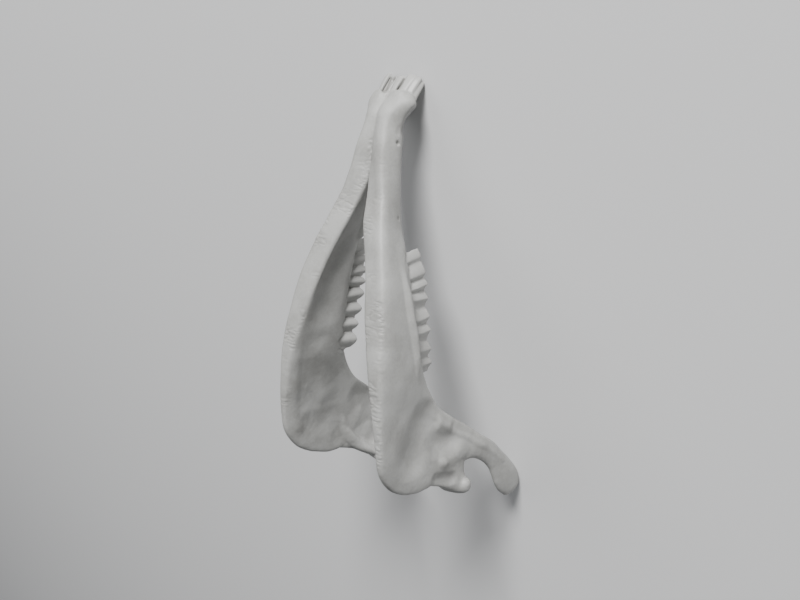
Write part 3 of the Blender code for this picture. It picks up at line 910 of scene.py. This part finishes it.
def bone_roughness(tree, mottle, tooth):
    gloss = node(tree, "ShaderNodeMapRange")
    gloss.inputs["To Min"].default_value = 0.36
    gloss.inputs["To Max"].default_value = 0.56
    link(tree, mottle, gloss.inputs["Value"])
    smoother = node(tree, "ShaderNodeMath", operation="MULTIPLY_ADD")
    smoother.inputs[1].default_value = -TOOTH_POLISH
    link(tree, tooth, smoother.inputs[0])
    link(tree, gloss.outputs["Result"], smoother.inputs[2])
    return smoother.outputs["Value"]


def bone_bump(tree, spot):
    """Fine fibre along the bone, and pores."""
    stretch = node(tree, "ShaderNodeMapping")
    stretch.inputs["Scale"].default_value = (1.6, 0.35, 1.6)
    link(tree, spot, stretch.inputs["Vector"])
    fibre = node(tree, "ShaderNodeTexNoise", Scale=1.5, Detail=4.0, Roughness=0.65)
    link(tree, stretch.outputs["Vector"], fibre.inputs["Vector"])
    pores = node(tree, "ShaderNodeTexVoronoi", Scale=0.55)
    link(tree, spot, pores.inputs["Vector"])
    pore = node(tree, "ShaderNodeMapRange")
    pore.inputs["From Min"].default_value = 0.05
    pore.inputs["From Max"].default_value = 0.16
    link(tree, pores.outputs["Distance"], pore.inputs["Value"])
    relief = node(tree, "ShaderNodeMath", operation="MULTIPLY_ADD")
    relief.inputs[1].default_value = PORE_SHARE
    link(tree, pore.outputs["Result"], relief.inputs[0])
    link(tree, fibre.outputs["Fac"], relief.inputs[2])
    bump = node(tree, "ShaderNodeBump", Strength=0.25, Distance=0.00012)
    link(tree, relief.outputs["Value"], bump.inputs["Height"])
    return bump.outputs["Normal"]


def bone_material():
    """Dry pale bone, with all its detail in millimetres."""
    material = bpy.data.materials.new("dry_bone")
    material.use_nodes = True
    tree = material.node_tree
    shader = tree.nodes["Principled BSDF"]
    place_of = node(tree, "ShaderNodeTexCoord")
    scale = node(tree, "ShaderNodeMapping")
    scale.inputs["Scale"].default_value = (1000, 1000, 1000)
    link(tree, place_of.outputs["Object"], scale.inputs["Vector"])
    spot = scale.outputs["Vector"]
    mottle = mottling(tree, spot)
    tooth = node(tree, "ShaderNodeAttribute", attribute_name="tooth").outputs["Fac"]
    link(tree, bone_colour(tree, mottle, tooth), shader.inputs["Base Color"])
    link(tree, bone_roughness(tree, mottle, tooth), shader.inputs["Roughness"])
    link(tree, bone_bump(tree, spot), shader.inputs["Normal"])
    return material


def floor():
    data = bpy.data.meshes.new("floor")
    data.from_pydata([(-6, -6, 0), (6, -6, 0), (6, 6, 0), (-6, 6, 0)], [], [(0, 1, 2, 3)])
    obj = bpy.data.objects.new("floor", data)
    bpy.context.scene.collection.objects.link(obj)
    material = bpy.data.materials.new("pale_floor")
    material.use_nodes = True
    shader = material.node_tree.nodes["Principled BSDF"]
    shader.inputs["Base Color"].default_value = (0.80, 0.80, 0.80, 1)
    shader.inputs["Roughness"].default_value = 0.8
    data.materials.append(material)


def camera():
    eye = turned(np.array([CAMERA_EYE]))[0]
    forward = Vector(TURN @ np.array(CAMERA_FORWARD)).normalized()
    rostral = Vector(TURN @ np.array((0.0, 1.0, 0.0)))
    right = forward.cross(rostral).normalized()
    up = right.cross(forward)
    roll = math.radians(CAMERA_ROLL)
    across = right * math.cos(roll) + up * math.sin(roll)
    upward = up * math.cos(roll) - right * math.sin(roll)
    made = bpy.data.objects.new("camera", bpy.data.cameras.new("camera"))
    made.data.sensor_width = 36.0
    made.data.lens = CAMERA_LENS
    made.data.clip_start = 0.01
    made.matrix_world = Matrix((
        (across.x, upward.x, -forward.x, eye[0]),
        (across.y, upward.y, -forward.y, eye[1]),
        (across.z, upward.z, -forward.z, eye[2]),
        (0, 0, 0, 1),
    ))
    bpy.context.scene.collection.objects.link(made)
    bpy.context.scene.camera = made


def area_light(name, direction, distance, size, power):
    direction = Vector(direction).normalized()
    lamp = bpy.data.lights.new(name, "AREA")
    lamp.shape = "DISK"
    lamp.size = size
    lamp.energy = power
    obj = bpy.data.objects.new(name, lamp)
    obj.location = Vector((0, 0, 0.04)) + direction * distance
    obj.rotation_euler = direction.to_track_quat("Z", "Y").to_euler()
    bpy.context.scene.collection.objects.link(obj)


def lights():
    world = bpy.data.worlds.new("studio")
    world.use_nodes = True
    background = world.node_tree.nodes["Background"]
    background.inputs["Color"].default_value = (0.80, 0.82, 0.85, 1)
    background.inputs["Strength"].default_value = 0.2
    bpy.context.scene.world = world
    area_light("key", (-0.26, -0.88, 0.40), 2.5, 0.9, 118)
    area_light("fill", (0.5, -0.5, 0.7), 2.5, 2.0, 10)


def main():
    camera()
    lights()
    floor()
    bone = bone_material()
    for name, side in (("mandible_right", 1), ("mandible_left", -1)):
        half = half_jaw(f"{name}_skin", side)
        half.data.materials.clear()
        half.data.materials.append(bone)
        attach(half, "root")
        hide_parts(name)


main()
